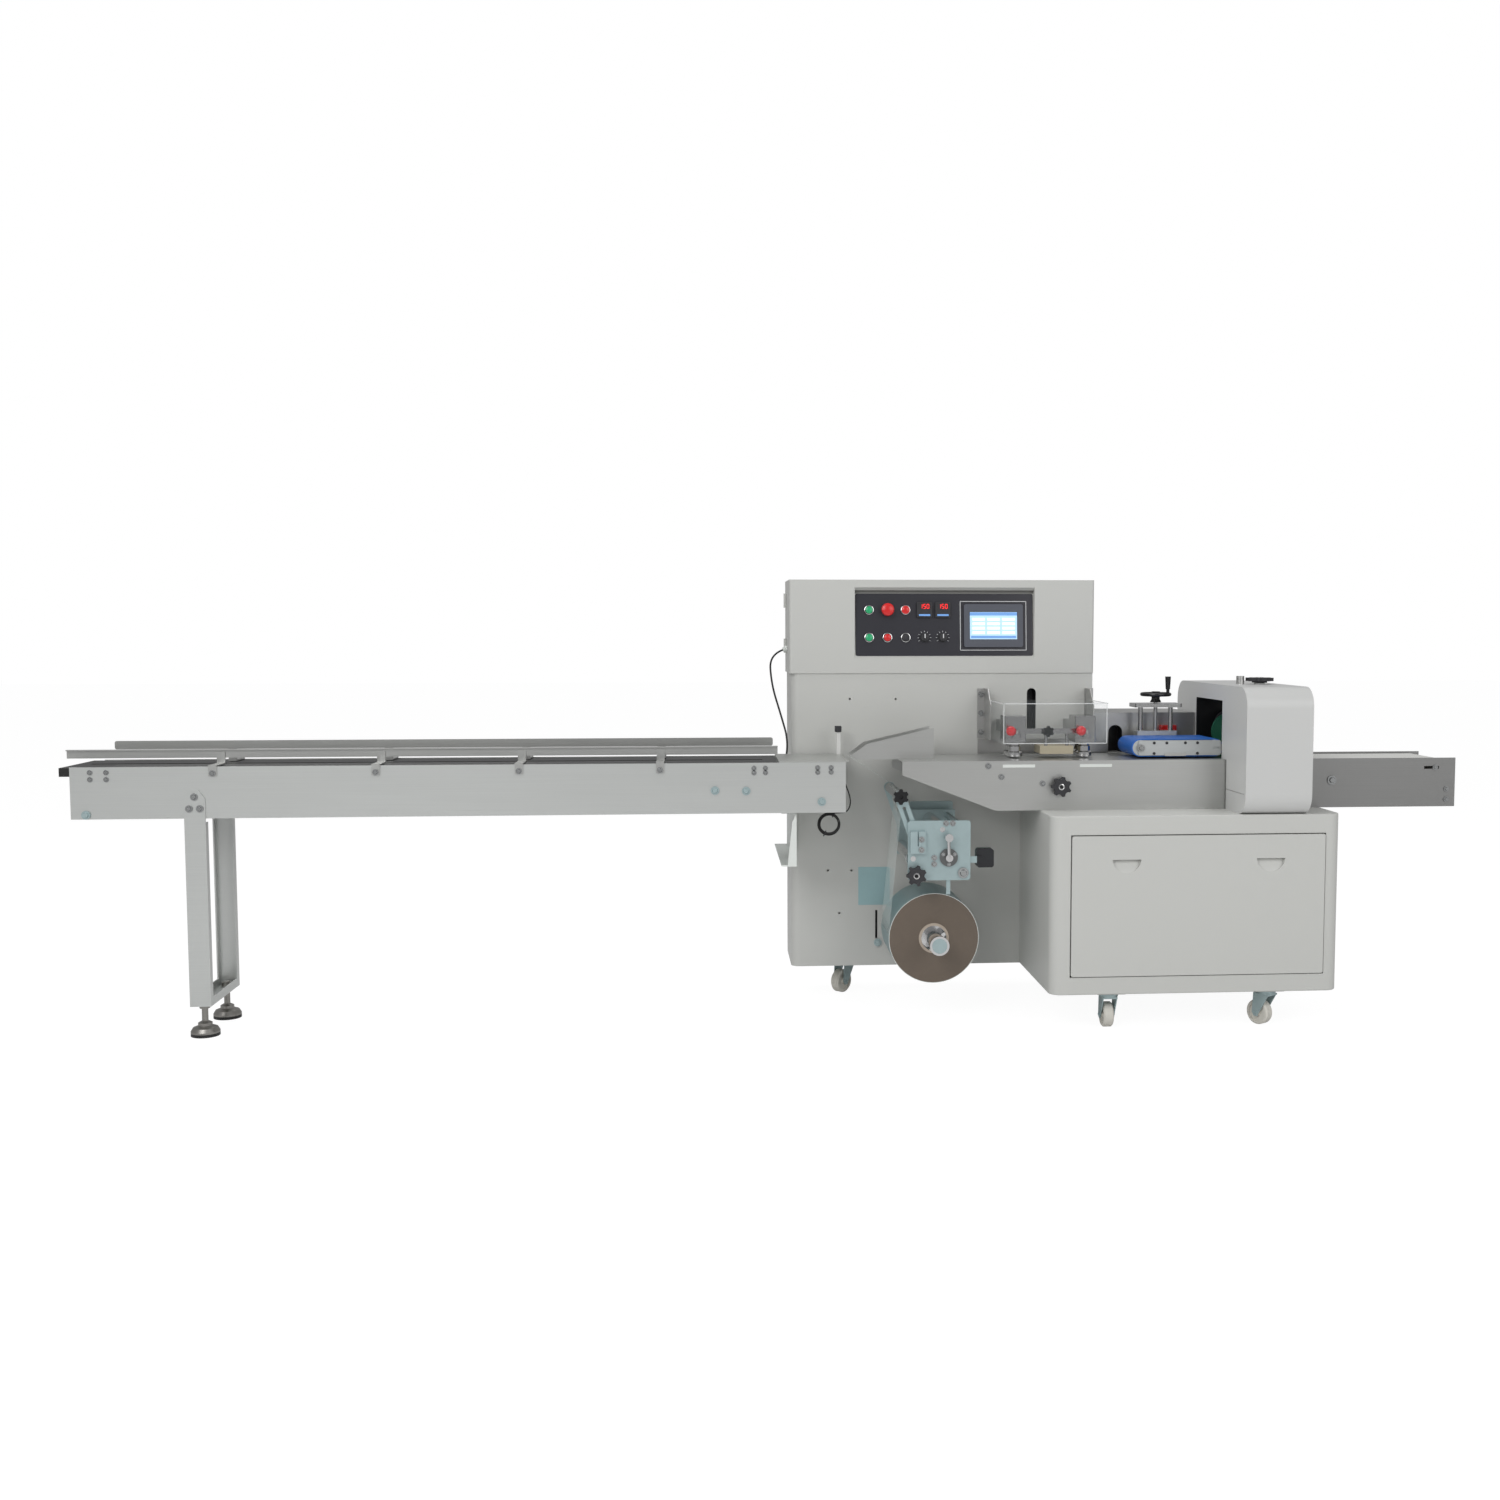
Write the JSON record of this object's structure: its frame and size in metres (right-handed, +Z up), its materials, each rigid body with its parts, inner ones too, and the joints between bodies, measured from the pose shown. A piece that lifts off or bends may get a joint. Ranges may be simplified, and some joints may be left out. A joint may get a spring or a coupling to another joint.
{
  "type": "horizontal flow wrapper",
  "caption": "Horizontal flow wrapping machine with a long infeed conveyor, film roll and forming box, fin seal under a clear guard, rotary end seal and outfeed belt",
  "frame": {"origin": "centre of the bounding box's underside, on the floor", "axes": "+X towards the outfeed, +Y to the back of the machine, +Z up"},
  "size_m": [4.15, 0.75, 1.342],
  "materials": {
    "painted_body": "satin light warm grey paint",
    "painted_cover": "satin light grey paint",
    "painted_white": "white paint",
    "stainless": "brushed, satin",
    "side_plate": "brushed, clear",
    "zinc": "zinc plated, pale",
    "polished": "polished",
    "black_plastic": "matt black",
    "panel_black": "satin black",
    "screen_grey": "grey bezel",
    "buttons": "red, green and black caps",
    "film": "clear film",
    "film_roll": "wound film",
    "acrylic": "clear acrylic",
    "heater": "beige",
    "belt_blue": "smooth blue belt",
    "belt_white": "smooth white belt",
    "red_ball": "red ball on a steel lever",
    "jaw_green": "dark green disc, steel jaw",
    "nylon": "white nylon",
    "rubber_black": "black"
  },
  "bodies": {
    "machine": {"infeed_side_plates": "side_plate", "guide_rails": "stainless", "infeed_bed": "stainless", "infeed_fixings": "stainless", "leg_frame": "side_plate", "levelling_feet": "rubber_black", "support_bracket": "painted_white", "cabinet_body": "painted_body", "control_box": "painted_body", "control_panel": "panel_black", "touch_screen": "screen_grey", "panel_buttons": "buttons", "rear_body": "painted_body", "steel_back": "stainless", "front_housing": "painted_body", "front_door": "painted_body", "table": "stainless", "forming_box": "stainless", "film_bracket": "zinc", "film_web": "film", "seal_guard": "acrylic", "seal_blocks": "polished", "heater_block": "heater", "lift_frame": "polished", "end_cover": "painted_cover", "jaw_frame": "black_plastic", "outfeed_frame": "side_plate", "outfeed_belt": "belt_white", "cabinet_cable": "rubber_black", "sensor_lead": "rubber_black", "sensor_coil": "rubber_black"},
    "reel": {"film_roll": "film_roll", "reel_shaft": "polished"},
    "press": {"press_belt": "belt_blue", "press_carriage": "zinc"},
    "top_roller": {"top_roller": "black_plastic"},
    "feed_roller": {"feed_roller": "polished"},
    "guide_roller": {"guide_roller": "polished"},
    "release_lever": {"release_lever": "polished"},
    "bracket_knob": {"bracket_knob": "black_plastic"},
    "table_knob": {"table_knob": "black_plastic"},
    "cover_knob": {"cover_knob": "black_plastic"},
    "handwheel": {"handwheel": "black_plastic"},
    "jaw_upper": {"jaw_upper": "jaw_green"},
    "jaw_lower": {"jaw_lower": "jaw_green"},
    "seal_lever_left": {"seal_lever_left": "red_ball"},
    "seal_wheel_left_front": {"seal_wheel_left_front": "polished"},
    "seal_wheel_left_rear": {"seal_wheel_left_rear": "polished"},
    "seal_lever_right": {"seal_lever_right": "red_ball"},
    "seal_wheel_right_front": {"seal_wheel_right_front": "polished"},
    "seal_wheel_right_rear": {"seal_wheel_right_rear": "polished"},
    "caster_fork_front_left": {"caster_fork_front_left": "zinc"},
    "caster_wheel_front_left": {"caster_wheel_front_left": "nylon"},
    "caster_fork_front_right": {"caster_fork_front_right": "zinc"},
    "caster_wheel_front_right": {"caster_wheel_front_right": "nylon"},
    "caster_fork_rear_left": {"caster_fork_rear_left": "zinc"},
    "caster_wheel_rear_left": {"caster_wheel_rear_left": "nylon"},
    "caster_fork_rear_right": {"caster_fork_rear_right": "zinc"},
    "caster_wheel_rear_right": {"caster_wheel_rear_right": "nylon"}
  },
  "joints": [
    {"name": "reel_spin", "type": "hinge", "parent": "machine", "child": "reel", "pos_m": [0.462, -0.056, 0.253], "axis": [0, 1, 0], "continuous": true},
    {"name": "top_roller_turn", "type": "hinge", "parent": "machine", "child": "top_roller", "pos_m": [0.351, -0.056, 0.692], "axis": [0, 1, 0], "continuous": true},
    {"name": "feed_roller_turn", "type": "hinge", "parent": "machine", "child": "feed_roller", "pos_m": [0.478, -0.056, 0.592], "axis": [0, 1, 0], "continuous": true},
    {"name": "guide_roller_turn", "type": "hinge", "parent": "machine", "child": "guide_roller", "pos_m": [0.39, -0.056, 0.505], "axis": [0, 1, 0], "continuous": true},
    {"name": "release_lever_swing", "type": "hinge", "parent": "machine", "child": "release_lever", "pos_m": [0.496, -0.24, 0.509], "axis": [0, 1, 0], "range_deg": [-30, 30]},
    {"name": "bracket_knob_turn", "type": "hinge", "parent": "machine", "child": "bracket_knob", "pos_m": [0.397, -0.24, 0.458], "axis": [0, 1, 0], "continuous": true},
    {"name": "table_knob_turn", "type": "hinge", "parent": "machine", "child": "table_knob", "pos_m": [0.838, -0.205, 0.716], "axis": [0, 1, 0], "continuous": true},
    {"name": "cover_knob_turn", "type": "hinge", "parent": "machine", "child": "cover_knob", "pos_m": [1.48, -0.1, 1.025], "axis": [0, 0, 1], "continuous": true},
    {"name": "press_lift", "type": "slide", "parent": "machine", "child": "press", "axis": [0, 0, 1], "range_m": [0, 0.06]},
    {"name": "handwheel_turn", "type": "hinge", "parent": "machine", "child": "handwheel", "pos_m": [1.2, 0.06, 0.981], "axis": [0, 0, 1], "range_deg": [0, 5400]},
    {"name": "jaw_upper_turn", "type": "hinge", "parent": "machine", "child": "jaw_upper", "pos_m": [1.442, -0.04, 0.863], "axis": [0, 1, 0], "continuous": true},
    {"name": "jaw_lower_turn", "type": "hinge", "parent": "machine", "child": "jaw_lower", "pos_m": [1.442, -0.04, 0.735], "axis": [0, 1, 0], "continuous": true},
    {"name": "lever_left_swing", "type": "hinge", "parent": "machine", "child": "seal_lever_left", "pos_m": [0.72, -0.112, 0.875], "axis": [0, 0, 1], "range_deg": [-25, 25]},
    {"name": "seal_left_front_turn", "type": "hinge", "parent": "machine", "child": "seal_wheel_left_front", "pos_m": [0.72, -0.0803, 0.818], "axis": [0, 0, 1], "continuous": true},
    {"name": "seal_left_rear_turn", "type": "hinge", "parent": "machine", "child": "seal_wheel_left_rear", "pos_m": [0.72, -0.0317, 0.818], "axis": [0, 0, 1], "continuous": true},
    {"name": "lever_right_swing", "type": "hinge", "parent": "machine", "child": "seal_lever_right", "pos_m": [0.936, -0.112, 0.875], "axis": [0, 0, 1], "range_deg": [-25, 25]},
    {"name": "seal_right_front_turn", "type": "hinge", "parent": "machine", "child": "seal_wheel_right_front", "pos_m": [0.936, -0.0803, 0.818], "axis": [0, 0, 1], "continuous": true},
    {"name": "seal_right_rear_turn", "type": "hinge", "parent": "machine", "child": "seal_wheel_right_rear", "pos_m": [0.936, -0.0317, 0.818], "axis": [0, 0, 1], "continuous": true},
    {"name": "swivel_front_left", "type": "hinge", "parent": "machine", "child": "caster_fork_front_left", "pos_m": [0.968, -0.296, 0.1], "axis": [0, 0, 1], "continuous": true},
    {"name": "wheel_front_left", "type": "hinge", "parent": "caster_fork_front_left", "child": "caster_wheel_front_left", "pos_m": [0.968, -0.274, 0.0375], "axis": [1, 0, 0], "continuous": true},
    {"name": "swivel_front_right", "type": "hinge", "parent": "machine", "child": "caster_fork_front_right", "pos_m": [1.45, -0.296, 0.1], "axis": [0, 0, 1], "continuous": true},
    {"name": "wheel_front_right", "type": "hinge", "parent": "caster_fork_front_right", "child": "caster_wheel_front_right", "pos_m": [1.43738, -0.27798, 0.0375], "axis": [0.8192, 0.5736, 0], "continuous": true},
    {"name": "swivel_rear_left", "type": "hinge", "parent": "machine", "child": "caster_fork_rear_left", "pos_m": [0.23, 0.262, 0.1], "axis": [0, 0, 1], "continuous": true},
    {"name": "wheel_rear_left", "type": "hinge", "parent": "caster_fork_rear_left", "child": "caster_wheel_rear_left", "pos_m": [0.21444, 0.24644, 0.0375], "axis": [-0.7071, 0.7071, 0], "continuous": true},
    {"name": "swivel_rear_right", "type": "hinge", "parent": "machine", "child": "caster_fork_rear_right", "pos_m": [1.458, 0.262, 0.1], "axis": [0, 0, 1], "continuous": true},
    {"name": "wheel_rear_right", "type": "hinge", "parent": "caster_fork_rear_right", "child": "caster_wheel_rear_right", "pos_m": [1.44244, 0.24644, 0.0375], "axis": [-0.7071, 0.7071, 0], "continuous": true}
  ],
  "couplings": [
    {"joint": "jaw_lower_turn", "follows": "jaw_upper_turn", "ratio": -1},
    {"joint": "seal_left_rear_turn", "follows": "seal_left_front_turn", "ratio": -1},
    {"joint": "seal_right_front_turn", "follows": "seal_left_front_turn", "ratio": 1},
    {"joint": "seal_right_rear_turn", "follows": "seal_left_front_turn", "ratio": -1},
    {"joint": "handwheel_turn", "follows": "press_lift", "rad_per_m": 1570.8}
  ]
}
